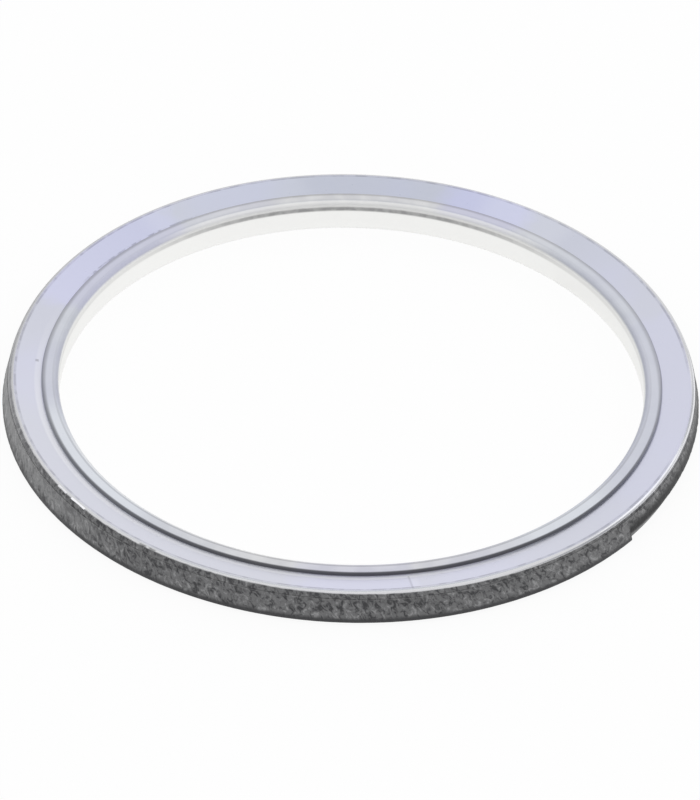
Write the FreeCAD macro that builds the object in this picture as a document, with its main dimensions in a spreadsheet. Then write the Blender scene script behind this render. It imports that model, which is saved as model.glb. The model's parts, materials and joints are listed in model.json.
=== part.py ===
import FreeCAD, Part
import math
import os
import Sketcher

# Flat ring gasket for an exhaust pipe joint: a sheet-metal jacket is folded round a pressed
# graphite filler and clamps a dished face washer on top of it. Z is the pipe's axis, and the
# jacket's flange lies on the lower pipe flange at z = 0. Every section is drawn as radius
# against height and turned about Z.

doc = FreeCAD.newDocument("exhaust_gasket")

# Driving dimensions, in millimetres and degrees
drivingSizes = [
    ("boreDiameter", 83.8, "clear bore through the jacket"),
    ("jacketHeight", 5.0, "underside of the flange to the top of the folded lip"),
    ("jacketSheet", 0.5, "sheet of the jacket"),
    ("jacketBend", 0.4, "inside radius of the jacket's two bends"),
    ("flangeWidth", 7.05, "bore wall to the edge of the flange under the filler"),
    ("lipWidth", 2.55, "bore wall to the edge of the lip that is folded over the washer"),
    ("lipEdgeRound", 0.4, "rounding on the lip's outer top edge"),
    ("washerSheet", 0.5, "sheet of the face washer"),
    ("washerBoreClearance", 0.05, "start of the lip's bend to the inner edge of the washer"),
    ("washerOverhang", 0.25, "edge of the flange to the outside of the washer's shoulder"),
    ("marginBend", 0.5, "radius between the washer's clamped margin and its dished face"),
    ("shoulderRise", 0.2, "top of the lip to the highest point of the washer's shoulder"),
    ("shoulderBend", 0.35, "inside radius of the washer's shoulder"),
    ("skirtLength", 0.15, "straight skirt below the shoulder's bend"),
    ("fillerBoreClearance", 0.05, "jacket's bore wall to the filler"),
    ("fillerLedge", 0.1, "outside of the skirt to the outside of the filler just below it"),
    ("fillerFlare", 0.7, "filler's radius at its foot over its radius below the skirt"),
    ("fillerFootRound", 0.3, "rounding on the filler's outer foot"),
    ("breakStart", -36.5, "direction of the clean end of the broken stretch of filler"),
    ("breakSweep", 52.0, "angle that the broken stretch covers"),
    ("breakHeight", 0.85, "height broken from the filler's foot"),
    ("breakDepth", 1.5, "depth broken from the filler's foot"),
]
sheet = doc.addObject("Spreadsheet::Sheet", "Sizes")
for row, (alias, value, note) in enumerate(drivingSizes, start=1):
    sheet.set(f"A{row}", alias)
    sheet.set(f"B{row}", str(value))
    sheet.set(f"C{row}", note)
    sheet.setAlias(f"B{row}", alias)
doc.recompute()


class Size:
    """A size as its present value and as the sheet formula that it is bound to."""

    def __init__(self, value, formula):
        self.value = value
        self.formula = formula

    def __add__(self, other):
        return Size(self.value + other.value, f"({self.formula} + {other.formula})")

    def __sub__(self, other):
        return Size(self.value - other.value, f"({self.formula} - {other.formula})")

    def times(self, factor):
        return Size(self.value * factor, f"({self.formula} * {factor})")

    def halved(self):
        return Size(self.value / 2, f"({self.formula} / 2)")

    def upTo(self, limit):
        return Size(min(self.value, limit.value), f"min({self.formula}; {limit.formula})")


def size(alias):
    return Size(float(sheet.get(alias)), f"Sizes.{alias}")


def corner(x, y):
    """A sharp corner of a section."""
    return x, y, None, 0


def convex(x, y, radius):
    """A rounded outside corner, given by the centre and radius of its arc."""
    return x, y, radius, 1


def concave(x, y, radius):
    """A rounded inside corner, given by the centre and radius of its arc."""
    return x, y, radius, -1


def startSketch(body, name):
    """A sketch on the body's own XZ plane, so that x is the radius and y the height."""
    sketch = body.newObject("Sketcher::SketchObject", name)
    planes = {plane.Role: plane for plane in body.Origin.OriginFeatures}
    sketch.AttachmentSupport = [(planes["XZ_Plane"], "")]
    sketch.MapMode = "FlatFace"
    return sketch


def bind(sketch, name, amount, kind, *places):
    """A driving constraint whose value follows a sheet formula."""
    number = sketch.addConstraint(Sketcher.Constraint(kind, *places, amount.value))
    sketch.renameConstraint(number, name)
    sketch.setExpression(f"Constraints.{name}", amount.formula)


def drawSection(sketch, corners):
    """Draws a closed section counter-clockwise from its corners.

    Straight runs join the sharp corners and touch the arcs, so that the centre and radius of
    each arc and the place of each sharp corner fix the whole section.
    """
    count = len(corners)
    runs = []
    for number, (x, y, radius, side) in enumerate(corners):
        nextX, nextY, nextRadius, nextSide = corners[(number + 1) % count]
        here = FreeCAD.Vector(x.value, y.value, 0)
        there = FreeCAD.Vector(nextX.value, nextY.value, 0)
        offset = side * radius.value if radius else 0.0
        nextOffset = nextSide * nextRadius.value if nextRadius else 0.0
        across = there - here
        heading = math.atan2(across.y, across.x) - math.asin((nextOffset - offset) / across.Length)
        left = FreeCAD.Vector(-math.sin(heading), math.cos(heading), 0)
        runs.append((here - left * offset, there - left * nextOffset))
    lines = [sketch.addGeometry(Part.LineSegment(start, end)) for start, end in runs]
    for number, (x, y, radius, side) in enumerate(corners):
        before, after = lines[number - 1], lines[number]
        if radius is None:
            sketch.addConstraint(Sketcher.Constraint("Coincident", before, 2, after, 1))
            bind(sketch, f"corner{number}x", x, "DistanceX", -1, 1, after, 1)
            bind(sketch, f"corner{number}y", y, "DistanceY", -1, 1, after, 1)
            continue
        centre = FreeCAD.Vector(x.value, y.value, 0)
        arrive = runs[number - 1][1] - centre
        leave = runs[number][0] - centre
        first, last = (arrive, leave) if side > 0 else (leave, arrive)
        circle = Part.Circle(centre, FreeCAD.Vector(0, 0, 1), radius.value)
        arc = sketch.addGeometry(Part.ArcOfCircle(circle, math.atan2(first.y, first.x),
                                                  math.atan2(last.y, last.x)))
        arriveEnd, leaveEnd = (1, 2) if side > 0 else (2, 1)
        sketch.addConstraint(Sketcher.Constraint("Tangent", before, 2, arc, arriveEnd))
        sketch.addConstraint(Sketcher.Constraint("Tangent", after, 1, arc, leaveEnd))
        bind(sketch, f"centre{number}x", x, "DistanceX", -1, 1, arc, 3)
        bind(sketch, f"centre{number}y", y, "DistanceY", -1, 1, arc, 3)
        bind(sketch, f"round{number}", radius, "Radius", arc)


def turned(label, corners):
    """A body made by turning one section right round Z."""
    body = doc.addObject("PartDesign::Body", label)
    section = startSketch(body, f"{label}_section")
    drawSection(section, corners)
    turn = body.newObject("PartDesign::Revolution", f"{label}_turned")
    turn.Profile = section
    turn.ReferenceAxis = (section, ["V_Axis"])
    turn.Angle = 360
    doc.recompute()
    return body


# Radii and heights that more than one piece uses
edgeShare = 0.8  # an edge is rounded over this share of its sheet at most
lowerFace = Size(0.0, "0")
boreRadius = size("boreDiameter").halved()
jacketSheet = size("jacketSheet")
innerBend = size("jacketBend")
outerBend = innerBend + jacketSheet
bendRadius = boreRadius + outerBend
flangeRadius = boreRadius + size("flangeWidth")
lipRadius = boreRadius + size("lipWidth")
lipTop = size("jacketHeight")
lipUnderside = lipTop - jacketSheet
washerSheet = size("washerSheet")
washerRadius = flangeRadius + size("washerOverhang")
marginBend = size("marginBend")
marginUnderside = lipUnderside - washerSheet
marginCentre = lipUnderside + marginBend
innerShoulder = size("shoulderBend")
outerShoulder = innerShoulder + washerSheet
shoulderRadius = washerRadius - outerShoulder
shoulderCentre = lipTop + size("shoulderRise") - outerShoulder
skirtEnd = shoulderCentre - size("skirtLength")
skirtInside = washerRadius - washerSheet

# Jacket: flange, bore wall and folded lip in one sheet
lipEdge = size("lipEdgeRound").upTo(jacketSheet.times(edgeShare))
jacket = turned("jacket", [
    corner(flangeRadius, lowerFace),
    corner(flangeRadius, jacketSheet),
    concave(bendRadius, outerBend, innerBend),
    concave(bendRadius, lipTop - outerBend, innerBend),
    corner(lipRadius, lipUnderside),
    convex(lipRadius - lipEdge, lipTop - lipEdge, lipEdge),
    convex(bendRadius, lipTop - outerBend, outerBend),
    convex(bendRadius, outerBend, outerBend),
])

# Face washer: flat margin under the lip, dished face, shoulder and turned-down skirt
washerBore = bendRadius + size("washerBoreClearance")
faceWasher = turned("face_washer", [
    corner(washerBore, marginUnderside),
    convex(lipRadius, marginCentre, marginBend + washerSheet),
    concave(shoulderRadius, shoulderCentre, innerShoulder),
    corner(skirtInside, skirtEnd),
    corner(washerRadius, skirtEnd),
    convex(shoulderRadius, shoulderCentre, outerShoulder),
    concave(lipRadius, marginCentre, marginBend),
    corner(washerBore, lipUnderside),
])

# Filler: pressed between flange and washer, bevelled where the jacket bends round it, with
# its flared rim open to the outside
fillerBore = boreRadius + jacketSheet + size("fillerBoreClearance")
fillerBevel = fillerBore + innerBend
fillerTopRadius = washerRadius + size("fillerLedge")
fillerRadius = fillerTopRadius + size("fillerFlare")
footRound = size("fillerFootRound")
fillerRing = turned("filler_ring", [
    corner(fillerBore, jacketSheet + innerBend),
    corner(fillerBevel, jacketSheet),
    convex(fillerRadius - footRound, jacketSheet + footRound, footRound),
    corner(fillerTopRadius, skirtEnd),
    corner(skirtInside, skirtEnd),
    convex(shoulderRadius, shoulderCentre, innerShoulder),
    concave(lipRadius, marginCentre, marginBend + washerSheet),
    corner(fillerBevel, marginUnderside),
    corner(fillerBore, marginUnderside - innerBend),
])

# The filler's lower rim has broken away along part of its length, from a clean end at the front
wholeVolume = fillerRing.Shape.Volume
breakFloor = jacketSheet + size("breakHeight")
breakRadius = fillerRadius - size("breakDepth")
breakSection = startSketch(fillerRing, "break_section")
turnAxis = FreeCAD.Vector(0, 1, 0)
startTurn = FreeCAD.Rotation(turnAxis, size("breakStart").value)
breakSection.AttachmentOffset = FreeCAD.Placement(FreeCAD.Vector(), startTurn)
breakSection.setExpression("AttachmentOffset.Rotation.Angle", size("breakStart").formula)
drawSection(breakSection, [
    corner(breakRadius, lowerFace),
    corner(fillerRadius + footRound, lowerFace),
    corner(fillerRadius + footRound, breakFloor),
    corner(breakRadius, breakFloor),
])
brokenRim = fillerRing.newObject("PartDesign::Groove", "broken_rim")
brokenRim.Profile = breakSection
brokenRim.ReferenceAxis = (breakSection, ["V_Axis"])
brokenRim.Angle = size("breakSweep").value
brokenRim.setExpression("Angle", size("breakSweep").formula)
brokenRim.Reversed = False
doc.recompute()
if fillerRing.Shape.Volume >= wholeVolume:
    raise RuntimeError("the broken stretch takes nothing from the filler")

# Every object and shape is checked before any file is written
for item in doc.Objects:
    if "Invalid" in item.State or "Error" in item.State:
        raise RuntimeError(f"{item.Label} did not compute: {item.State}")
os.makedirs("parts", exist_ok=True)
for body in (jacket, faceWasher, fillerRing):
    shape = body.Shape
    if shape.isNull() or not shape.isValid() or len(shape.Solids) != 1:
        raise RuntimeError(f"{body.Label} is not one sound solid")
    shape.exportStep(f"parts/{body.Label}.step")
    box = shape.BoundBox
    print(f"{body.Label}: {shape.Volume:.1f} cubic mm, from z {box.ZMin:.2f} to {box.ZMax:.2f}")
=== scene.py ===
import json
import math

import bmesh
import bpy
from mathutils import Matrix, Vector, noise


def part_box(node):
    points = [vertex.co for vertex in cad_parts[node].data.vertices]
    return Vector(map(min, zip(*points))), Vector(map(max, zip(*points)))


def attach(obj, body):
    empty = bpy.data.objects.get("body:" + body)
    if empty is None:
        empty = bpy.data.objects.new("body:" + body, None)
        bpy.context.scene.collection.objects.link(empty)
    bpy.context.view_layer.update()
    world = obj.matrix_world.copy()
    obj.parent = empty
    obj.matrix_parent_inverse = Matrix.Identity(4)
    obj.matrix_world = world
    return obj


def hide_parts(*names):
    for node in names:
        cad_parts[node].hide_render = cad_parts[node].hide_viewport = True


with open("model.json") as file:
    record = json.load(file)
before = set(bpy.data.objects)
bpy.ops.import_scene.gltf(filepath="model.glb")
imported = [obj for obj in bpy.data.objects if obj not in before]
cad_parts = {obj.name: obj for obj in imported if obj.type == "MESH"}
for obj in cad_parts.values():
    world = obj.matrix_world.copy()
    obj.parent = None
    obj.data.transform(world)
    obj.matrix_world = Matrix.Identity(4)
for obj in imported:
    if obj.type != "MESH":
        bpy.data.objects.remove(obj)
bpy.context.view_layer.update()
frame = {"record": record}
print("frame loaded")

mm = 0.001
scene = bpy.context.scene

# sizes that the frame gives
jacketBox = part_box("jacket")
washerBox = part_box("face_washer")
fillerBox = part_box("filler_ring")
boreMount = next(mount for mount in frame["record"]["mounts"] if mount["name"] == "bore")
boreRadius = boreMount["dims"]["r_mm"] * mm
flangeRadius = jacketBox[1].x
lipTop = jacketBox[1].z
sheet = fillerBox[0].z  # the filler lies one sheet above the ground
washerRadius = washerBox[1].x
shoulderTop = washerBox[1].z
marginUnderside = washerBox[0].z
fillerRadius = -fillerBox[0].x  # the other side is broken


# shader maths

class Value:
    # a socket that adds its own Math nodes
    def __init__(self, finish, socket):
        self.finish = finish
        self.socket = socket

    def maths(self, operation, first, second=0.0):
        return self.finish.node("ShaderNodeMath", {"operation": operation}, {0: first, 1: second})

    def __add__(self, other):
        return self.maths("ADD", self, other)

    def __sub__(self, other):
        return self.maths("SUBTRACT", self, other)

    def __mul__(self, other):
        return self.maths("MULTIPLY", self, other)

    def __truediv__(self, other):
        return self.maths("DIVIDE", self, other)

    def __pow__(self, other):
        return self.maths("POWER", self, other)

    def __rsub__(self, other):
        return self.maths("SUBTRACT", other, self)

    def __rtruediv__(self, other):
        return self.maths("DIVIDE", other, self)

    __radd__ = __add__
    __rmul__ = __mul__

    def angleTo(self, other):
        return self.maths("ARCTAN2", self, other)

    def most(self, other):
        return self.maths("MAXIMUM", self, other)

    def distance(self, other):
        return self.maths("ABSOLUTE", self - other)

    def rise(self, low, high):
        # 0 below low, 1 above high, smooth between them
        return self.finish.node("ShaderNodeMapRange", {"interpolation_type": "SMOOTHSTEP"},
                                {"Value": self, "From Min": low, "From Max": high})

    def riseFrom(self, start, low, high):
        # the same, with low and high counted from start
        return self.rise(start + low, start + high)

    def band(self, centre, halfWidth, soft):
        # 1 within halfWidth of centre, and 0 past soft beyond that
        return 1 - self.distance(centre).rise(halfWidth, halfWidth + soft)

    def bandFrom(self, start, offset, halfWidth, soft):
        # the same, with its centre counted from start
        return self.band(start + offset, halfWidth, soft)

    def arc(self, middle, half, soft):
        # a band of an angle, given in degrees
        return self.band(math.radians(middle), math.radians(half), math.radians(soft))


class Finish:
    # one node tree of a material or a world
    def __init__(self, owner):
        self.owner = owner
        owner.use_nodes = True
        self.tree = owner.node_tree
        self.tree.nodes.clear()

    def node(self, kind, settings=None, inputs=None, output=0):
        node = self.tree.nodes.new(kind)
        for name, value in (settings or {}).items():
            setattr(node, name, value)
        for name, value in (inputs or {}).items():
            if isinstance(value, Value):
                self.tree.links.new(value.socket, node.inputs[name])
            else:
                node.inputs[name].default_value = value
        return Value(self, node.outputs[output]) if node.outputs else None

    def parts(self, vector):
        split = self.node("ShaderNodeSeparateXYZ", inputs={"Vector": vector})
        return [Value(self, socket) for socket in split.socket.node.outputs]

    def aroundAxis(self):
        # the place on the piece, its three parts, and its radius and angle round the axis
        place = self.node("ShaderNodeTexCoord", output="Object")
        x, y, z = self.parts(place)
        return place, x, y, z, (x * x + y * y) ** 0.5, y.angleTo(x)

    def noise(self, vector, size, detail=2.0, rough=0.5, warp=0.0):
        # size is the width of a patch, in metres
        return self.node("ShaderNodeTexNoise", None, {
            "Vector": vector, "Scale": 1 / size, "Detail": detail, "Roughness": rough, "Distortion": warp})

    def patches(self, vector, size, detail, low, high, rough=0.5, warp=0.0):
        # noise that is stretched to 0 below low and 1 above high
        return self.noise(vector, size, detail, rough, warp).rise(low, high)

    def turnedMarks(self, x, y, radius, across, along):
        # fine rings left by turning, with that many marks in a metre across and along them
        marks = {"X": radius * across, "Y": x * along, "Z": y * along}
        return self.noise(self.node("ShaderNodeCombineXYZ", inputs=marks), 1.0, 3)

    def mix(self, factor, first, second):
        # colours: A and B of a colour Mix are its sockets 6 and 7
        return self.node("ShaderNodeMix", {"data_type": "RGBA"}, {0: factor, 6: first, 7: second}, 2)

    def surface(self, fields, bump, depth, constants=None):
        normal = self.node("ShaderNodeBump", None, {"Height": bump, "Distance": depth})
        inputs = {**(constants or {}), **fields, "Normal": normal}
        shader = self.node("ShaderNodeBsdfPrincipled", None, inputs)
        self.node("ShaderNodeOutputMaterial", None, {"Surface": shader})
        return self.owner


# turned meshes

def sectionOf(corners, longest, arcSteps):
    # corners are radius, height and rounding, in order round the section
    bm = bmesh.new()
    points = [bm.verts.new((radius, 0, height)) for radius, height, rounding in corners]
    bm.faces.new(points)
    for number, (radius, height, rounding) in enumerate(corners):
        if not rounding:
            continue
        before, after = corners[number - 1], corners[(number + 1) % len(corners)]
        arrive = Vector((radius - before[0], height - before[1]))
        leave = Vector((after[0] - radius, after[1] - height))
        turn = arrive.angle(leave)
        bmesh.ops.bevel(bm, geom=[points[number]], offset=rounding * math.tan(turn / 2),
                        offset_type="OFFSET", segments=max(2, round(arcSteps * turn / math.pi)),
                        profile=0.5, affect="VERTICES", material=-1)
    bmesh.ops.delete(bm, geom=bm.faces[:], context="FACES_ONLY")
    for edge in bm.edges[:]:
        cuts = math.ceil(edge.calc_length() / longest) - 1
        if cuts > 0:
            bmesh.ops.subdivide_edges(bm, edges=[edge], cuts=cuts)
    return bm


def spinRound(bm, steps, sectors=36):
    # one sector is spun and then copied round, because one long spin takes half a minute
    sector = 2 * math.pi / sectors
    bmesh.ops.spin(bm, geom=bm.verts[:] + bm.edges[:], cent=(0, 0, 0), axis=(0, 0, 1),
                   angle=sector, steps=steps // sectors)
    bmesh.ops.spin(bm, geom=bm.verts[:] + bm.edges[:] + bm.faces[:], cent=(0, 0, 0), axis=(0, 0, 1),
                   angle=2 * math.pi - sector, steps=sectors - 1, use_duplicate=True)
    bmesh.ops.remove_doubles(bm, verts=bm.verts[:], dist=0.001 * mm)
    bmesh.ops.recalc_face_normals(bm, faces=bm.faces[:])


def moveVerts(bm, move):
    # move takes angle, radius and height, and gives them back changed
    for vert in bm.verts:
        radius = math.hypot(vert.co.x, vert.co.y)
        angle = math.atan2(vert.co.y, vert.co.x)
        angle, radius, height = move(angle, radius, vert.co.z)
        vert.co = (radius * math.cos(angle), radius * math.sin(angle), height)


def bump(distance, width):
    # 1 at no distance, falling smoothly to 0 at width
    share = min(1.0, abs(distance) / width)
    return 1 - share * share * (3 - 2 * share)


def grain(angle, radius, height, size, seed=0.0):
    # noise between about -1 and 1, with patches of that size in metres
    return noise.noise(Vector((radius * math.cos(angle), radius * math.sin(angle), height)) / size
                       + Vector((seed, seed, seed)))


def addPiece(name, bm, material, node, sharp=math.radians(38)):
    for face in bm.faces:
        face.smooth = True
    for edge in bm.edges:
        edge.smooth = edge.calc_face_angle(0.0) < sharp
    mesh = bpy.data.meshes.new(name)
    bm.to_mesh(mesh)
    bm.free()
    mesh.materials.append(material)
    piece = bpy.data.objects.new(name, mesh)
    scene.collection.objects.link(piece)
    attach(piece, "root")
    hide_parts(node)


# how the values below are written
#   an arc: middle, half width and softness in degrees, and a strength where there is a fourth
#   a line or margin: offset, half width and softness
#   levels, heights and edges: where the look starts and where it is full
#   patches: size, detail, the two levels, and sometimes roughness and warp


# what the pieces share round the ring

ringValues = {
    "reflectionArcs": [(-97, -79, 0.5), (59, 72, 0.9), (127, 158, 0.7), (-30, 20, 0.25)],  # start, end and strength
    "arcInset": 0.02, "arcSoft": 0.09, "arcFringe": 0.10, "arcFringeSize": 3 * mm,
    "tintClouds": (17 * mm, 2, 0.45, 0.75, 0.4), "tintCloudStrength": 0.35,
    "nearLevels": (-0.3, 0.6),
    "rightFrontArc": (-28, 16, 22),
}


def tintAndReflectionField(finish, place, angle, values=ringValues):
    # 0 on plain steel, up to 1 where it is lavender: random clouds of tint, and painted reflection along the
    # listed arcs
    fringe = (finish.noise(place, values["arcFringeSize"], 2) - 0.5) * values["arcFringe"]
    field = finish.patches(place, *values["tintClouds"]) * values["tintCloudStrength"]
    for start, end, strength in values["reflectionArcs"]:
        middle, half = math.radians((start + end) / 2), math.radians((end - start) / 2)
        reflectionTint = (angle + fringe).band(middle, half - values["arcInset"], values["arcSoft"])
        field = field.most(reflectionTint * strength)
    return field


def nearSide(y, radius, values=ringValues):
    # 1 on the ring's near side, 0 at the sides and beyond: it sets how the painted shade differs round the
    # ring
    return ((0.0 - y) / radius).rise(*values["nearLevels"])


def rightFront(angle, values=ringValues):
    # 1 along the arc over the broken rim's start, where the marks sit a little further out
    return angle.arc(*values["rightFrontArc"])


graphite = {
    "dark": (0.037, 0.037, 0.040, 1), "grey": (0.165, 0.165, 0.167, 1), "pale": (0.32, 0.32, 0.322, 1),
    "lean": 7, "stretch": (1, 1, 0.75),  # the lean is in radians for each metre up the rim
    "flakes": (0.75 * mm, 4, 0.62, 0.9), "clumps": (2.4 * mm, 2), "specks": (0.38 * mm, 2),
    "shares": (0.74, 0.16, 0.10), "upperHeights": (1.9 * mm, 3.9 * mm), "upperShade": 0.03,
    "greyLevels": (0.385, 0.505), "paleLevels": (0.525, 0.62),
}


def graphiteLook(finish, place, z, values=graphite):
    # flakes and short fibres that lean up the rim, in clumps
    leaning = finish.node("ShaderNodeVectorRotate", {"rotation_type": "Z_AXIS"},
                          {"Vector": place, "Angle": z * values["lean"]})
    stretched = finish.node("ShaderNodeVectorMath", {"operation": "MULTIPLY"},
                            {0: leaning, 1: values["stretch"]})
    flakes = finish.noise(stretched, *values["flakes"])
    clumps = finish.noise(place, *values["clumps"])
    specks = finish.noise(place, *values["specks"])
    flakeShare, clumpShare, speckShare = values["shares"]
    tone = flakes * flakeShare + clumps * clumpShare + specks * speckShare
    tone = tone - z.rise(*values["upperHeights"]) * values["upperShade"]
    colour = finish.mix(tone.rise(*values["greyLevels"]), values["dark"], values["grey"])
    return tone, finish.mix(tone.rise(*values["paleLevels"]), colour, values["pale"])


# the jacket: flange, bore wall and the lip folded over the washer

jacketValues = {
    "bend": 0.4 * mm, "lipWidth": 2.55 * mm, "edgeRound": 0.4 * mm, "flangeEdge": 0.1 * mm,
    "spinSteps": 720, "arcSteps": 16, "longest": 0.6 * mm,
    "lipWaver": 0.03 * mm, "lipWaverSize": 7 * mm,
    "steel": (0.63, 0.63, 0.65, 1), "paleSteel": (0.71, 0.71, 0.72, 1), "blueSteel": (0.605, 0.63, 0.70, 1),
    "rubbed": (0.77, 0.80, 0.85, 1), "brightSteelAndHighlight": (0.95, 0.95, 0.935, 1),
    "lavenderSteel": (0.57, 0.57, 0.72, 1), "dirtAndShade": (0.03, 0.03, 0.04, 1),
    "clouds": (3 * mm, 3, 0.35, 0.65), "fleckSize": 0.4 * mm, "turning": (7000, 150),
    "blueLevels": (0.2, 0.8), "blueStrength": 0.7, "lavenderStrength": 0.8,
    "rubbedArcs": [(-150, 14, 9, 0.6), (-45, 6, 9, 0.5)],  # of the lip, brightened by handling
    # the bore wall's bright steel with painted reflection, carried over its lower bend to lift the shade at
    # its foot, and painted highlights on its bend at the far side and along an arc at the near left
    "wallEdge": (0.02 * mm, 0.25 * mm), "wallHeights": (0.7 * mm, 1.0 * mm),
    "farBendHighlight": (90, 30, 16, 0.6), "farBendEdge": (0.55 * mm, 0.85 * mm),
    "bendBandLine": (0.35 * mm, 0.25 * mm, 0.2 * mm), "nearLeftHighlightArc": (-125, 28, 14, 0.5),
    # the dark line near the top of the wall, with its darkness all round, more along its darkest arc and in
    # dashes there
    "dullLine": (-1.07 * mm, 0.16 * mm, 0.36 * mm), "dullEdge": (0, 0.2 * mm), "dullestArc": (90, 12, 42),
    "dullDashes": (1.3 * mm, 2, 0.38, 0.60), "dullDarkness": (0.15, 0.42, 0.1),
    # the faint dark line along the lip's inner side, faint all round, with painted shade added at the near
    # side
    "innerLine": (0.86 * mm, 0.08 * mm, 0.14 * mm), "innerHeights": (4.0 * mm, 4.4 * mm),
    "innerDarkness": (0.06, 0.2),
    # how far inside the lip's edge its grime and painted shade start and are full: the width at the near
    # side, what is added away from it and what is taken off at the right front
    "grimeWidths": [(0.52 * mm, 0.40 * mm, 0.20 * mm), (0.20 * mm, 0.15 * mm, 0.05 * mm)],
    "grimeHeights": (-0.53 * mm, -0.37 * mm),
    # its strength all round, the painted shade that the near side adds between two levels, and how it leans
    # to the right
    "grimeAndShade": 0.33, "nearShade": [(-0.1, 0.6, 0.44), (0.5, 1.0, 0.12)], "grimeLean": (0.1, 0.03),
    "grimeDulling": 0.4,
    "rough": (0.24, 0.14, 0.3, 0.2),  # plain, and what flecks, the bend's band and the grime add
    "reliefShares": (0.5, 0.5), "relief": 0.004 * mm,
}
lipRadius = boreRadius + jacketValues["lipWidth"]


def jacketMesh(values):
    outerBend = values["bend"] + sheet
    wallRadius = boreRadius + sheet
    bm = sectionOf([
        (flangeRadius, 0, 0),
        (flangeRadius, sheet, values["flangeEdge"]),
        (wallRadius, sheet, values["bend"]),
        (wallRadius, lipTop - sheet, values["bend"]),
        (lipRadius, lipTop - sheet, 0),
        (lipRadius, lipTop, values["edgeRound"]),
        (boreRadius, lipTop, outerBend),
        (boreRadius, 0, outerBend),
    ], values["longest"], values["arcSteps"])
    spinRound(bm, values["spinSteps"])
    edgeStart = lipRadius - values["edgeRound"]

    def waver(angle, radius, height):
        if radius > edgeStart and height > lipTop / 2:
            radius += values["lipWaver"] * grain(angle, lipRadius, 0, values["lipWaverSize"])
        return angle, radius, height

    moveVerts(bm, waver)
    return bm


def jacketFinish(values):
    finish = Finish(bpy.data.materials.new("jacketSteel"))
    place, x, y, z, radius, angle = finish.aroundAxis()
    near = nearSide(y, radius)
    flecks = finish.noise(place, values["fleckSize"], 2)
    turned = finish.turnedMarks(x, y, radius, *values["turning"])
    # mottled steel, bluer at the left and right, with lavender tint and painted reflection, and rubbed arcs
    colour = finish.mix(finish.patches(place, *values["clouds"]), values["steel"], values["paleSteel"])
    atSides = (x / radius).distance(0).rise(*values["blueLevels"])
    colour = finish.mix(atSides * values["blueStrength"], colour, values["blueSteel"])
    colour = finish.mix(tintAndReflectionField(finish, place, angle) * values["lavenderStrength"], colour, values["lavenderSteel"])
    for *arc, strength in values["rubbedArcs"]:
        colour = finish.mix(angle.arc(*arc) * strength, colour, values["rubbed"])

    # the bore wall is bright steel with painted reflection, also on its lower bend to lift the shade at its
    # foot, and painted highlights lie on parts of its bend
    boreWall = 1 - radius.riseFrom(boreRadius, *values["wallEdge"])
    boreWall = boreWall.most(1 - z.rise(*values["wallHeights"]))
    colour = finish.mix(boreWall, colour, values["brightSteelAndHighlight"])
    *arc, strength = values["farBendHighlight"]
    farBendHighlight = angle.arc(*arc) * (1 - radius.riseFrom(boreRadius, *values["farBendEdge"]))
    colour = finish.mix(farBendHighlight * strength, colour, values["brightSteelAndHighlight"])
    *arc, strength = values["nearLeftHighlightArc"]
    bendBand = radius.bandFrom(boreRadius, *values["bendBandLine"])
    colour = finish.mix(bendBand * (angle.arc(*arc) * strength), colour, values["brightSteelAndHighlight"])

    # two thin dark lines, near the top of the wall and along the lip's inner side, the second with painted
    # shade
    dashes = finish.patches(place, *values["dullDashes"])
    dullest = angle.arc(*values["dullestArc"])
    onWall = 1 - radius.riseFrom(boreRadius, *values["dullEdge"])
    plain, dull, dashed = values["dullDarkness"]
    dirtAndShade = plain + dull * dullest + dashed * dashes * dullest
    colour = finish.mix(z.bandFrom(lipTop, *values["dullLine"]) * onWall * dirtAndShade, colour, values["dirtAndShade"])
    innerLine = radius.bandFrom(boreRadius, *values["innerLine"]) * z.rise(*values["innerHeights"])
    plain, nearer = values["innerDarkness"]
    colour = finish.mix(innerLine * (plain + nearer * near), colour, values["dirtAndShade"])

    # the sheet's cut edge is grimy above its foot, and painted shade darkens it more, most on the near side
    away = 1 - near
    right = rightFront(angle)
    starts, full = [lipRadius - width - wider * away + less * right
                    for width, wider, less in values["grimeWidths"]]
    lipEdge = radius.rise(starts, full) * z.riseFrom(lipTop, *values["grimeHeights"]).most(right)
    front = (0.0 - y) / radius
    thick = 0.0
    for low, high, strength in values["nearShade"]:
        thick = front.rise(low, high) * strength + thick
    more, less = values["grimeLean"]
    grimeAndShade = lipEdge * (values["grimeAndShade"] + thick * (1 + more * x / radius) - less * x / radius)
    colour = finish.mix(grimeAndShade, colour, values["dirtAndShade"])

    plain, flecked, bendBandMore, grimyMore = values["rough"]
    rough = plain + flecked * flecks + bendBandMore * bendBand + grimyMore * grimeAndShade
    turnedShare, fleckShare = values["reliefShares"]
    return finish.surface(
        {"Base Color": colour, "Metallic": 1 - values["grimeDulling"] * grimeAndShade, "Roughness": rough},
        turned * turnedShare + flecks * fleckShare, values["relief"])


addPiece("foldedJacket", jacketMesh(jacketValues), jacketFinish(jacketValues), "jacket")
print("jacket made")


# the face washer: clamped margin, dished face, shoulder and turned-down skirt

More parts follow.
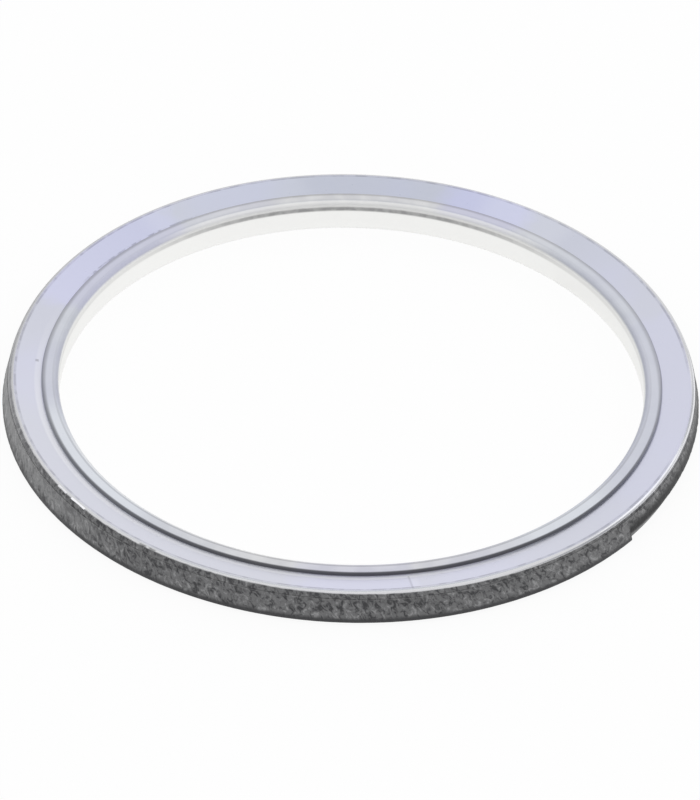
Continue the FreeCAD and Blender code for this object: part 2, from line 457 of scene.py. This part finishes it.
washerValues = {
    "boreGap": 0.05 * mm, "marginBend": 0.5 * mm, "innerBend": 0.35 * mm, "skirt": 0.15 * mm,
    "spinSteps": 900, "arcSteps": 24, "longest": 0.6 * mm,
    "wave": 0.012 * mm, "waveSize": 14 * mm,
    "steel": (0.635, 0.645, 0.73, 1), "lavenderSteel": (0.655, 0.66, 0.86, 1), "polished": (0.67, 0.67, 0.675, 1),
    "bright": (0.95, 0.95, 0.98, 1), "dirtAndShade": (0.05, 0.05, 0.06, 1),
    "fleckSize": 0.45 * mm, "turning": (8000, 120),
    # small flats on the shoulder, as direction, width and depth
    "flats": [(-145.9, 2.3 * mm, 0.05 * mm), (-141.3, 3.4 * mm, 0.07 * mm),
              (-126.0, 1.1 * mm, 0.08 * mm), (-124.0, 1.3 * mm, 0.07 * mm)],
    "flatDrop": 0.6,
    # the most handled side: the shares of left and front in its direction, its levels and strength
    "handledWay": (0.5, 0.87), "handledLevels": (0.1, 0.8), "handledStrength": 0.12,
    "paleArcs": [(58, 6, 5, 0.15), (115, 13, 5, 0.13)],  # of the face
    # the margin's rubbed band, also painted lighter over the dark mirrored from the lip's edge
    "rubbedAndLitMargin": (0.5 * mm, 0.25 * mm, 0.45 * mm), "rubbedAndLitStrength": 0.5,
    # dark dashes beside the lip at the far left: their arc has its widths in radians
    "lipDashes": (1.4 * mm, 3, 0.40, 0.62, 0.6, 0.5), "lipDashArc": (math.radians(136), 0.18, 0.12),
    "lipDashLine": (0.24 * mm, 0.10 * mm, 0.24 * mm), "lipDashStrength": 0.34,
    # the radial scratch and its bright border, with their widths in radians and a strength
    "scratch": (math.radians(-78.9), 0.0015, 0.003, 0.18),
    "scratchBorder": (math.radians(-78.1), 0.006, 0.008, 0.12), "scratchEdge": (0.4 * mm, 0.6 * mm),
    "speckAcross": (-45.2 * mm, 0.18 * mm, 0.12 * mm), "speckAlong": (2.7 * mm, 0.2 * mm, 0.12 * mm),
    "speckStrength": 0.35,
    # the shoulder: how far out it starts at the right front and in on the handled side, its rubbed edge,
    # the painted shade of the broken line before it and of its far side, and its arc of painted highlight
    "shoulderShifts": (0.34 * mm, 0.08 * mm), "shoulderEdge": (0.05 * mm, 0.25 * mm),
    "polish": 0.85, "turnLine": (-0.06 * mm, 0.10 * mm, 0.14 * mm),
    "turnDashes": (1.6 * mm, 2, 0.40, 0.60), "turnShade": (0.14, 0.18),
    "farShade": (0.14, 0.1), "highlightArc": (-8, 10, 9), "highlightStrength": 0.6,
    "seamEdge": (-0.04 * mm, 0.05 * mm), "seamShadeStrength": 0.3,  # beside the lip: dirt and painted shade in the crevice
    "outsideEdge": (0.25 * mm, 0.35 * mm),
    # glints on two of the flats, as direction, width and strength, and smudges on the others
    "glints": [(-145.9, 2.3 * mm, 0.75), (-141.3, 3.4 * mm, 1.0)], "glintEnds": (0.44, 0.5),
    "glintLine": (0.72 * mm, 0.06 * mm, 0.05 * mm),
    "smudges": [(-126.0, 1.1 * mm), (-124.0, 1.3 * mm)], "smudgeEnds": (0.25, 0.65),
    "smudgeRagged": 0.9 * mm, "smudgeStrength": 0.65,
    # the graphite smear with painted shade on the shoulder's lower half: its ragged top, how much lower it is
    # at the right, at the right front and, taken off, along the raised arc, its heights and its strengths
    "ragged": 0.12 * mm, "raggedSize": 1.2 * mm, "smearShifts": (0.19 * mm, 0.10 * mm, 0.06 * mm),
    "raisedArc": (-92, 16, 24), "smearHeights": (0.50 * mm, 0.64 * mm),
    "smearNearShade": (0.30, 0.70), "smearStrength": 0.97,
    "rough": (0.25, 0.1, 0.08, 0.35, 0.2),  # plain, flecks, less on the shoulder, smear and rubbed margin
    "dulling": (0.85, 0.5), "turnedRelief": 0.02, "relief": 0.12 * mm,
}
outerShoulder = washerValues["innerBend"] + sheet
shoulderRadius = washerRadius - outerShoulder
shoulderCentre = shoulderTop - outerShoulder
skirtEnd = shoulderCentre - washerValues["skirt"]
lipUnderside = lipTop - sheet
marginCentre = lipUnderside + washerValues["marginBend"]
centreRise = shoulderCentre - marginCentre
centreRun = shoulderRadius - lipRadius
dishAngle = math.atan2(centreRise, centreRun) + math.asin(
    (outerShoulder + washerValues["marginBend"]) / math.hypot(centreRise, centreRun))


def dishedLine(height, marginBend, edgeRadius, edgeBend):
    # the two corners of the dished line whose margin lies at that height
    start = lipRadius + marginBend * math.tan(dishAngle / 2)
    end = height + (edgeRadius - start) * math.tan(dishAngle)
    return (start, height, marginBend), (edgeRadius, end, edgeBend)


marginUnder, shoulderUnder = dishedLine(marginUnderside, washerValues["marginBend"] + sheet,
                                        washerRadius - sheet, washerValues["innerBend"])


def washerMesh(values):
    washerBore = boreRadius + jacketValues["bend"] + sheet + values["boreGap"]
    marginTop, shoulder = dishedLine(lipUnderside, values["marginBend"], washerRadius, outerShoulder)
    bm = sectionOf([
        (washerBore, marginUnderside, 0),
        marginUnder,
        shoulderUnder,
        (washerRadius - sheet, skirtEnd, 0),
        (washerRadius, skirtEnd, 0),
        shoulder,
        marginTop,
        (washerBore, lipUnderside, 0),
    ], values["longest"], values["arcSteps"])
    spinRound(bm, values["spinSteps"])
    keptRim = 0.01 * mm  # of the skirt's end, which stays round

    def wear(angle, radius, height):
        onFace = bump(radius - (lipRadius + shoulderRadius) / 2, (shoulderRadius - lipRadius) / 2)
        height += values["wave"] * onFace * grain(angle, radius, height, values["waveSize"])
        outer = bump(washerRadius - radius, outerShoulder) * (height > skirtEnd + keptRim)
        for direction, width, depth in values["flats"]:
            along = (angle - math.radians(direction)) * washerRadius
            pressed = depth * outer * bump(along, width / 2)
            radius -= pressed
            height -= pressed * values["flatDrop"]
        return angle, radius, height

    moveVerts(bm, wear)
    return bm


def washerFinish(values):
    finish = Finish(bpy.data.materials.new("washerSteel"))
    place, x, y, z, radius, angle = finish.aroundAxis()
    near = nearSide(y, radius)
    flecks = finish.noise(place, values["fleckSize"], 2)
    turned = finish.turnedMarks(x, y, radius, *values["turning"])
    # lavender steel, with random clouds of tint and painted reflection along the listed arcs
    colour = finish.mix(tintAndReflectionField(finish, place, angle), values["steel"], values["lavenderSteel"])

    # the most handled side, the pale arcs and the margin are rubbed brighter; the margin is also painted
    # lighter over the dark it mirrors from the lip's edge
    left, front = values["handledWay"]
    handled = (((0.0 - y) * front - x * left) / radius).rise(*values["handledLevels"])
    colour = finish.mix(handled * values["handledStrength"], colour, values["bright"])
    for *arc, strength in values["paleArcs"]:
        colour = finish.mix(angle.arc(*arc) * strength, colour, values["bright"])
    rubbed = radius.bandFrom(lipRadius, *values["rubbedAndLitMargin"]) * handled
    colour = finish.mix(rubbed * values["rubbedAndLitStrength"], colour, values["bright"])

    # dark dashes beside the lip, one radial scratch and one dark speck
    lipDashes = finish.patches(place, *values["lipDashes"]) * angle.band(*values["lipDashArc"])
    lipDashes = lipDashes * radius.bandFrom(lipRadius, *values["lipDashLine"])
    colour = finish.mix(lipDashes * values["lipDashStrength"], colour, values["dirtAndShade"])
    onFace = radius.riseFrom(lipRadius, *values["scratchEdge"])
    for mark, tone in (("scratch", "dirtAndShade"), ("scratchBorder", "bright")):
        *arc, strength = values[mark]
        colour = finish.mix(angle.band(*arc) * onFace * strength, colour, values[tone])
    speck = x.band(*values["speckAcross"]) * y.band(*values["speckAlong"])
    colour = finish.mix(speck * values["speckStrength"], colour, values["dirtAndShade"])

    # the shoulder is rubbed bright, behind a thin broken line of painted shade where it starts to turn
    rightShift, handledShift = values["shoulderShifts"]
    turnStart = rightFront(angle) * rightShift - handled * handledShift + shoulderRadius
    onShoulder = radius.riseFrom(turnStart, *values["shoulderEdge"])
    colour = finish.mix(onShoulder * values["polish"], colour, values["polished"])
    # on an arc at the right the shoulder gets a painted highlight instead of painted shade
    highlighted = angle.arc(*values["highlightArc"])
    dashes = finish.patches(place, *values["turnDashes"])
    plain, dashed = values["turnShade"]
    turnLine = radius.bandFrom(turnStart, *values["turnLine"]) * (plain + dashed * dashes)
    colour = finish.mix(turnLine * (1 - highlighted), colour, values["dirtAndShade"])
    # painted shade on the shoulder away from the near side
    plain, less = values["farShade"]
    shadedAway = onShoulder * (1 - near) * (plain - less * x / radius)
    colour = finish.mix(shadedAway * (1 - highlighted), colour, values["dirtAndShade"])
    colour = finish.mix(onShoulder * highlighted * values["highlightStrength"], colour, values["bright"])
    # a dark seam along the lip's foot: dirt and painted shade in the crevice
    seamShade = 1 - radius.riseFrom(lipRadius, *values["seamEdge"])
    colour = finish.mix(seamShade * values["seamShadeStrength"], colour, values["dirtAndShade"])

    # glints on two of the flats
    outside = radius.riseFrom(shoulderRadius, *values["outsideEdge"])
    low, high = values["glintEnds"]
    glints = 0.0
    for direction, width, strength in values["glints"]:
        along = angle.distance(math.radians(direction)) * washerRadius
        glints = ((1 - along.rise(width * low, width * high)) * strength).most(glints)
    glints = glints * z.bandFrom(shoulderCentre, *values["glintLine"]) * outside
    colour = finish.mix(glints, colour, values["bright"])

    # graphite smudges on the other flats, and the graphite smear with painted shade on the shoulder's lower
    # half, which reaches higher on the left and in front, and lower on the right front; the painted shade is
    # strongest in front
    low, high = values["smudgeEnds"]
    smudges = 0.0
    for direction, width in values["smudges"]:
        along = angle.distance(math.radians(direction)) * washerRadius
        along = along + (flecks - 0.5) * values["smudgeRagged"]
        smudges = (1 - along.rise(width * low, width * high)).most(smudges)
    ragged = (finish.noise(place, values["raggedSize"], 3) - 0.5) * values["ragged"]
    rightDrop, frontDrop, raised = values["smearShifts"]
    level = z + ragged + rightDrop * x / radius + frontDrop * rightFront(angle)
    level = level - raised * angle.arc(*values["raisedArc"])
    smeared = 1 - level.riseFrom(shoulderCentre, *values["smearHeights"])
    plain, nearer = values["smearNearShade"]
    smearAndShade = smeared * outside * (plain + nearer * near)
    smearAndShade = smearAndShade.most(smudges * outside * values["smudgeStrength"]) * (1 - glints)
    tone, graphiteColour = graphiteLook(finish, place, z)
    colour = finish.mix(smearAndShade * values["smearStrength"], colour, graphiteColour)

    plain, flecked, smoother, smeary, marginal = values["rough"]
    rough = plain + flecked * flecks - smoother * onShoulder + smeary * smearAndShade + marginal * rubbed
    smearDulling, rubbedDulling = values["dulling"]
    return finish.surface(
        {"Base Color": colour, "Metallic": 1 - (smearDulling * smearAndShade).most(rubbedDulling * rubbed),
         "Roughness": rough},
        turned * values["turnedRelief"] + tone * smearAndShade, values["relief"])


addPiece("dishedWasher", washerMesh(washerValues), washerFinish(washerValues), "face_washer")
print("face washer made")


# the filler: pressed graphite with a rough rim, broken at one side

fillerValues = {
    "boreGap": 0.05 * mm, "bevel": 0.4 * mm, "ledge": 0.1 * mm, "footRound": 0.3 * mm,
    "spinSteps": 1080, "arcSteps": 14, "longest": 0.31 * mm,
    "breakStart": math.radians(-36.5), "breakEnd": math.radians(15.5),
    "breakHeight": 1.15 * mm, "breakDepth": 1.5 * mm,
    "breakSteep": 0.1,  # how near the points beside an end are moved to it, in steps of the spin
    "breakRough": 0.09 * mm, "crumbs": [(0.8 * mm, 1.0), (2.5 * mm, 0.6)],  # sizes and shares
    "breakLip": 12, "breakBack": 0.7,  # how soon the ceiling is rough, and the share left at the back
    # fibres and pits of the rim, with their lean and how much of their height shows in the pattern
    "fibre": 0.045 * mm, "fibreSize": 0.55 * mm, "fibreLean": 11, "fibreHeight": 0.35,
    "pit": 0.07 * mm, "pitSize": 0.9 * mm, "pitHeight": 0.7, "pitSeed": 5.0, "pitLevel": 0.25,
    "rimFade": 0.25, "keptTop": 0.02 * mm,
    # the dark of the broken graphite, with painted shade over the break
    "freshAndShaded": (0.012, 0.012, 0.013, 1),
    # the painted sheen on the left side: its levels, heights and strength
    "sheenSideLevels": (0.6, 0.85), "sheenSideHeights": (1.6 * mm, 2.8 * mm), "rubbedAndLitStrength": 0.38,
    "footHeights": (0.5 * mm, 1.15 * mm), "footStrength": 0.97,
    "cornerLightHeights": (-0.12 * mm, -0.02 * mm), "cornerLightStrength": 0.25,
    "breakShadeHeights": (1.9 * mm, 3.4 * mm), "breakShadeSoft": 0.01,
    "rough": (0.75, 0.35, 0.2),  # plain, less where the graphite is pale, and more on the break
    "sheen": {"Metallic": 0.1, "Sheen Weight": 0.2, "Sheen Roughness": 0.5}, "relief": 0.14 * mm,
}


def fillerMesh(values):
    fillerBore = boreRadius + sheet + values["boreGap"]
    fillerTop = washerRadius + values["ledge"]
    flare = math.atan2(fillerRadius - fillerTop, skirtEnd - sheet - values["footRound"])
    footCorner = fillerRadius + values["footRound"] * (1 / math.cos(flare) + math.tan(flare) - 1)
    bm = sectionOf([
        (fillerBore, sheet + values["bevel"], 0),
        (fillerBore + values["bevel"], sheet, 0),
        (footCorner, sheet, values["footRound"]),
        (fillerTop, skirtEnd, 0),
        (washerRadius - sheet, skirtEnd, 0),
        shoulderUnder,
        marginUnder,
        (fillerBore + values["bevel"], marginUnderside, 0),
        (fillerBore, marginUnderside - values["bevel"], 0),
    ], values["longest"], values["arcSteps"])
    spinRound(bm, values["spinSteps"])

    step = 2 * math.pi / values["spinSteps"]
    deep, tall = values["breakDepth"], values["breakHeight"]
    ceiling = sheet + tall
    inner = fillerRadius - deep
    wall = fillerRadius - tall * math.tan(flare)

    def press(angle, radius, height):
        # fibres and pits in the rim, fading out at its top and foot
        onWall = bump(height - (sheet + skirtEnd) / 2, (skirtEnd - sheet) / 2) ** values["rimFade"]
        if radius < washerRadius + values["ledge"] / 2 or height > skirtEnd - values["keptTop"]:
            return angle, radius, height
        slanted = angle + values["fibreLean"] * height
        fibres = grain(slanted, radius, values["fibreHeight"] * height, values["fibreSize"])
        pits = grain(angle, radius, values["pitHeight"] * height, values["pitSize"], values["pitSeed"])
        pits = max(0.0, pits - values["pitLevel"])
        radius += onWall * (values["fibre"] * fibres - values["pit"] * pits)
        return angle, radius, height

    def crumble(angle, radius, height):
        # the rim's lower part is folded in to a rough ceiling and back wall, with steep ends
        for limit in (values["breakStart"], values["breakEnd"]):
            if abs(angle - limit) < step:
                angle = limit + math.copysign(values["breakSteep"] * step, angle - limit)
        if not values["breakStart"] < angle < values["breakEnd"] or radius < inner or height > ceiling:
            return angle, radius, height
        share = math.atan2(ceiling - height, radius - inner) / (math.pi / 2)
        along = share * (deep + tall)
        rough = sum(part * grain(angle, radius, 0, size) for size, part in values["crumbs"])
        rough *= values["breakRough"]
        if along < deep:
            lipped = rough * min(1.0, share * values["breakLip"])
            return angle, wall + (inner - wall) * along / deep, ceiling + lipped
        return angle, inner + values["breakBack"] * rough, ceiling + (sheet - ceiling) * (along - deep) / tall

    moveVerts(bm, press)
    moveVerts(bm, crumble)
    return bm


def fillerFinish(values):
    finish = Finish(bpy.data.materials.new("pressedGraphite"))
    place, x, _, z, radius, angle = finish.aroundAxis()
    tone, colour = graphiteLook(finish, place, z)
    # the left side is painted paler above its foot, as a painted sheen
    rubbed = (0.0 - x / radius).rise(*values["sheenSideLevels"]) * z.rise(*values["sheenSideHeights"])
    colour = finish.mix(rubbed * values["rubbedAndLitStrength"], colour, graphite["pale"])
    foot = 1 - z.riseFrom(sheet, *values["footHeights"])
    colour = finish.mix(foot * values["footStrength"], colour, graphite["dark"])
    # the corner under the washer is painted lighter, to lift the shade under the skirt's end
    cornerLight = z.riseFrom(skirtEnd, *values["cornerLightHeights"])
    colour = finish.mix(cornerLight * values["cornerLightStrength"], colour, graphite["pale"])
    # the broken stretch is darker, up to well above its edge: the broken graphite's own dark and painted
    # shade from the gap under the rim
    middle = (values["breakStart"] + values["breakEnd"]) / 2
    half = (values["breakEnd"] - values["breakStart"]) / 2
    broken = angle.band(middle, half, values["breakShadeSoft"]) * (1 - z.riseFrom(sheet, *values["breakShadeHeights"]))
    colour = finish.mix(broken, colour, values["freshAndShaded"])
    plain, paler, rougher = values["rough"]
    rough = plain - paler * tone + rougher * broken
    return finish.surface({"Base Color": colour, "Roughness": rough}, tone, values["relief"], values["sheen"])


addPiece("graphiteRing", fillerMesh(fillerValues), fillerFinish(fillerValues),
         "filler_ring")
print("filler made")


# floor, light and camera

studio = {
    "floorSize": 3.0, "floorDrop": 0.01 * mm, "floorColour": (0.97, 0.97, 0.97, 1), "floorGlow": 0.93,
    "glow": (1, 1, 1, 1),
    "dome": (1.0, 1.0, 1.0, 1), "sides": (0.50, 0.51, 0.53, 1), "front": (0.50, 0.505, 0.52, 1),
    "panel": (0.60, 0.64, 0.68, 1), "domeLevel": 1.0,
    # where the sky's parts start and are full, in the parts of a direction, and what its front adds
    "frontLevels": (-0.15, 0.75), "farLevels": (0.80, 0.86), "domeHeights": [(0.34, 0.16), (0.55, 0.14)],
    "panelAcross": (0.02, 0.15, 0.20), "panelHeights": (0.70, 0.84), "panelFar": (0.25, 0.40),
    "lamps": {
        "right": {"at": (0.74, 0.24, 0.34), "size": 0.46, "level": 0.55},
        "top": {"at": (0.05, 0.35, 0.85), "size": 0.6, "level": 0.10},
    },
}


def makeFloor(values):
    bm = bmesh.new()
    bmesh.ops.create_grid(bm, x_segments=1, y_segments=1, size=values["floorSize"])
    mesh = bpy.data.meshes.new("floor")
    bm.to_mesh(mesh)
    bm.free()
    finish = Finish(bpy.data.materials.new("paleFloor"))
    paper = finish.node("ShaderNodeBsdfDiffuse", None, {"Color": values["floorColour"]})
    glow = finish.node("ShaderNodeEmission", None, {"Color": values["glow"], "Strength": 1.0})
    # seen or mirrored, the floor is nearly white and keeps a faint shadow
    seen = finish.node("ShaderNodeLightPath", output="Is Camera Ray")
    mirrored = finish.node("ShaderNodeLightPath", output="Is Glossy Ray")
    through = finish.node("ShaderNodeLightPath", output="Is Transmission Ray")
    share = seen.most(mirrored).most(through) * values["floorGlow"]
    shader = finish.node("ShaderNodeMixShader", None, {0: share, 1: paper, 2: glow})
    finish.node("ShaderNodeOutputMaterial", None, {"Surface": shader})
    mesh.materials.append(finish.owner)
    floor = bpy.data.objects.new("floor", mesh)
    floor.location.z = -values["floorDrop"]
    scene.collection.objects.link(floor)


def makeSky(values):
    # a white dome, grey low down at the sides, darker low down behind the camera, and a grey panel high up
    sky = Finish(bpy.data.worlds.new("studio"))
    x, y, z = sky.parts(sky.node("ShaderNodeTexCoord"))
    towardsFront = (0.0 - y).rise(*values["frontLevels"])
    low = sky.mix(towardsFront, values["sides"], values["front"])
    low = sky.mix(y.rise(*values["farLevels"]), low, values["dome"])
    starts, full = [height + added * towardsFront for height, added in values["domeHeights"]]
    colour = sky.mix(z.rise(starts, full), low, values["dome"])
    panel = x.band(*values["panelAcross"]) * z.rise(*values["panelHeights"]) * y.rise(*values["panelFar"])
    colour = sky.mix(panel, colour, values["panel"])
    shade = sky.node("ShaderNodeBackground", None, {"Color": colour, "Strength": values["domeLevel"]})
    sky.node("ShaderNodeOutputWorld", None, {"Surface": shade})
    scene.world = sky.owner


def makeLamps(values):
    for name, lamp in values["lamps"].items():
        light = bpy.data.lights.new(name, "AREA")
        light.shape = "SQUARE"
        light.size = lamp["size"]
        light.energy = 4 * lamp["level"] * lamp["size"] ** 2  # a square of this brightness
        holder = bpy.data.objects.new(name, light)
        holder.location = lamp["at"]
        holder.rotation_mode = "QUATERNION"
        holder.rotation_quaternion = (-Vector(lamp["at"])).to_track_quat("-Z", "Y")
        scene.collection.objects.link(holder)


view = {
    "distance": 1500 * mm, "elevation": math.radians(37.82), "roll": math.radians(1.6),
    "pixelsPerMm": 6.987, "width": 700, "height": 800,
    "lipCentreAt": (351.96, 378.67),  # the middle of the lip's plane in the photograph's frame
    "sensor": 36.0, "clipStart": 15 * mm, "clipEnd": 15.0,
}


def makeCamera(values):
    data = bpy.data.cameras.new("camera")
    data.sensor_width = values["sensor"]
    pixelsPerMetre = values["pixelsPerMm"] / mm
    data.lens = pixelsPerMetre * values["distance"] * values["sensor"] / values["height"]
    towards = Vector((0, -math.cos(values["elevation"]), math.sin(values["elevation"])))
    right = Vector((1, 0, 0))
    up = towards.cross(right)
    # the frame's centre, seen from the lip's centre, before the roll
    offset = Vector((values["width"] / 2 - values["lipCentreAt"][0],
                     values["lipCentreAt"][1] - values["height"] / 2)) / pixelsPerMetre
    offset.rotate(Matrix.Rotation(values["roll"], 2))
    lipCentre = Vector((0, 0, lipTop))
    target = lipCentre + right * offset.x + up * offset.y
    camera = bpy.data.objects.new("camera", data)
    camera.location = lipCentre + towards * values["distance"]
    looking = (target - camera.location).to_track_quat("-Z", "Y").to_matrix()
    camera.rotation_euler = (looking @ Matrix.Rotation(values["roll"], 3, "Z")).to_euler()
    data.clip_start = values["clipStart"]
    data.clip_end = values["clipEnd"]
    scene.collection.objects.link(camera)
    scene.camera = camera


makeFloor(studio)
makeSky(studio)
makeLamps(studio)
makeCamera(view)
scene.view_settings.view_transform = "Standard"
print("floor, light and camera set")
